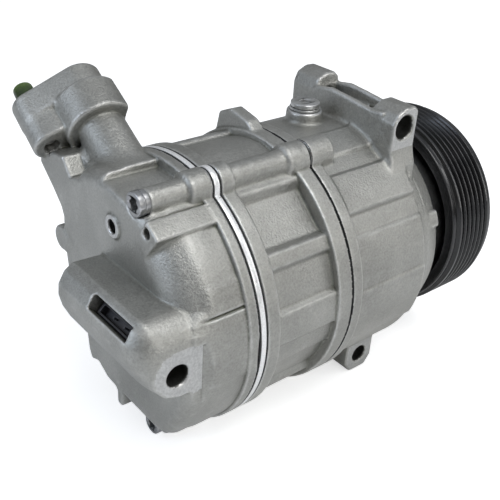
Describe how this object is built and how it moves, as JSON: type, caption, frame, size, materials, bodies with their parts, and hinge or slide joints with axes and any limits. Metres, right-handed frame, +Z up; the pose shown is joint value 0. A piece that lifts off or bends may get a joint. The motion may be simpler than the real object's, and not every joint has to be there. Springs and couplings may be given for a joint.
{
  "type": "automotive ac compressor",
  "caption": "Belt-driven vehicle air-conditioning compressor with variable swash plate, pistons, electromagnetic clutch, grooved pulley and pipe ports.",
  "frame": {"origin": "on the machined face of the upper mounting ear, straight below its hole, so the part is placed by that face", "axes": "+X along the shaft towards the clutch end, +Y away from the faces of the mounting ears that bolt to the engine bracket, +Z up towards the pipe ports"},
  "size_m": [0.2396, 0.1469, 0.1596],
  "materials": {
    "cast_alloy": "as-cast aluminium, fine grain, machined faces brighter",
    "machined_alloy": "fine turned aluminium",
    "steel": "ground steel",
    "bright_steel": "bright zinc-plated or blanked steel",
    "spring_steel": "blued spring steel",
    "black_paint": "black gloss coating on steel",
    "gasket": "rubber-coated gasket sheet",
    "rubber": "black elastomer",
    "plastic": "moulded black plastic",
    "green_plastic": "green shipping cap",
    "copper": "enamelled copper winding under potting",
    "bronze": "bronze bearing metal"
  },
  "bodies": {
    "frame": {"front_housing": "cast_alloy", "cylinder_block": "cast_alloy", "valve_plate": "bright_steel", "suction_reed_plate": "bright_steel", "head_gasket": "gasket", "block_gasket": "gasket", "discharge_reed": "spring_steel", "reed_retainer": "spring_steel", "retainer_screw": "bright_steel", "rear_head": "cast_alloy", "control_valve_body": "plastic", "control_valve_ring": "spring_steel", "control_valve_connector": "plastic", "port_stud": "steel", "port_stud_cap": "green_plastic", "through_bolt_1": "steel", "through_bolt_2": "steel", "through_bolt_3": "steel", "through_bolt_4": "steel", "oil_plug": "machined_alloy", "oil_plug_seal": "machined_alloy", "clutch_coil": "steel", "coil_winding": "copper", "coil_lead": "rubber", "coil_connector": "plastic", "pulley_bearing_inner": "steel", "pulley_bearing_ring": "spring_steel", "shaft_seal": "rubber", "front_bearing": "steel", "rear_bearing": "steel", "thrust_bearing": "steel"},
    "pulley": {"pulley": "black_paint", "pulley_bearing_outer": "steel"},
    "shaft": {"drive_shaft": "steel", "lug_plate": "cast_alloy", "clutch_hub": "steel", "hub_spring_1": "spring_steel", "hub_spring_2": "spring_steel", "hub_spring_3": "spring_steel", "hub_nut": "bright_steel"},
    "armature": {"armature_plate": "steel"},
    "swash": {"swash_plate": "machined_alloy", "guide_pin": "steel"},
    "sleeve": {"pivot_sleeve": "steel"},
    "plunger": {"control_valve_plunger": "steel"},
    "piston_1": {"piston_1": "machined_alloy"},
    "shoes_1": {"shoe_1_rear": "bronze", "shoe_1_front": "bronze"},
    "piston_2": {"piston_2": "machined_alloy"},
    "shoes_2": {"shoe_2_rear": "bronze", "shoe_2_front": "bronze"},
    "piston_3": {"piston_3": "machined_alloy"},
    "shoes_3": {"shoe_3_rear": "bronze", "shoe_3_front": "bronze"},
    "piston_4": {"piston_4": "machined_alloy"},
    "shoes_4": {"shoe_4_rear": "bronze", "shoe_4_front": "bronze"},
    "piston_5": {"piston_5": "machined_alloy"},
    "shoes_5": {"shoe_5_rear": "bronze", "shoe_5_front": "bronze"}
  },
  "joints": [
    {"name": "pulley_spin", "type": "hinge", "parent": "frame", "child": "pulley", "pos_m": [0, 0.038, -0.059], "axis": [1, 0, 0], "continuous": true},
    {"name": "shaft_spin", "type": "hinge", "parent": "frame", "child": "shaft", "pos_m": [0, 0.038, -0.059], "axis": [1, 0, 0], "continuous": true},
    {"name": "clutch_close", "type": "slide", "parent": "shaft", "child": "armature", "axis": [-1, 0, 0], "range_m": [0, 0.0005]},
    {"name": "swash_tilt", "type": "hinge", "parent": "frame", "child": "swash", "pos_m": [-0.0346, 0.025, -0.02329], "axis": [0, -0.9397, -0.342], "range_deg": [0, 16]},
    {"name": "sleeve_slide", "type": "slide", "parent": "frame", "child": "sleeve", "axis": [1, 0, 0], "range_m": [0, 0.011]},
    {"name": "valve_plunger_slide", "type": "slide", "parent": "frame", "child": "plunger", "axis": [0, 1, 0], "range_m": [0, 0.0008]},
    {"name": "piston_1_slide", "type": "slide", "parent": "frame", "child": "piston_1", "axis": [1, 0, 0], "range_m": [0, 0.0022]},
    {"name": "piston_2_slide", "type": "slide", "parent": "frame", "child": "piston_2", "axis": [1, 0, 0], "range_m": [0, 0.0145]},
    {"name": "piston_3_slide", "type": "slide", "parent": "frame", "child": "piston_3", "axis": [1, 0, 0], "range_m": [0, 0.022]},
    {"name": "piston_4_slide", "type": "slide", "parent": "frame", "child": "piston_4", "axis": [1, 0, 0], "range_m": [0, 0.0145]},
    {"name": "piston_5_slide", "type": "slide", "parent": "frame", "child": "piston_5", "axis": [1, 0, 0], "range_m": [0, 0.0022]},
    {"name": "shoes_1_tilt", "type": "hinge", "parent": "piston_1", "child": "shoes_1", "pos_m": [-0.0346, 0.04847, -0.02247], "axis": [0, -0.9397, -0.342], "range_deg": [0, 16]},
    {"name": "shoes_2_tilt", "type": "hinge", "parent": "piston_2", "child": "shoes_2", "pos_m": [-0.0346, 0.07598, -0.05767], "axis": [0, -0.9397, -0.342], "range_deg": [0, 16]},
    {"name": "shoes_3_tilt", "type": "hinge", "parent": "piston_3", "child": "shoes_3", "pos_m": [-0.0346, 0.051, -0.09471], "axis": [0, -0.9397, -0.342], "range_deg": [0, 16]},
    {"name": "shoes_4_tilt", "type": "hinge", "parent": "piston_4", "child": "shoes_4", "pos_m": [-0.0346, 0.00806, -0.08239], "axis": [0, -0.9397, -0.342], "range_deg": [0, 16]},
    {"name": "shoes_5_tilt", "type": "hinge", "parent": "piston_5", "child": "shoes_5", "pos_m": [-0.0346, 0.0065, -0.03775], "axis": [0, -0.9397, -0.342], "range_deg": [0, 16]}
  ],
  "couplings": [
    {"joint": "sleeve_slide", "follows": "swash_tilt", "m_per_rad": 0.03902},
    {"joint": "piston_1_slide", "follows": "swash_tilt", "m_per_rad": 0.0074521},
    {"joint": "piston_2_slide", "follows": "swash_tilt", "m_per_rad": 0.051077},
    {"joint": "piston_3_slide", "follows": "swash_tilt", "m_per_rad": 0.078039},
    {"joint": "piston_4_slide", "follows": "swash_tilt", "m_per_rad": 0.051077},
    {"joint": "piston_5_slide", "follows": "swash_tilt", "m_per_rad": 0.0074521},
    {"joint": "shoes_1_tilt", "follows": "swash_tilt", "ratio": 1},
    {"joint": "shoes_2_tilt", "follows": "swash_tilt", "ratio": 1},
    {"joint": "shoes_3_tilt", "follows": "swash_tilt", "ratio": 1},
    {"joint": "shoes_4_tilt", "follows": "swash_tilt", "ratio": 1},
    {"joint": "shoes_5_tilt", "follows": "swash_tilt", "ratio": 1}
  ]
}
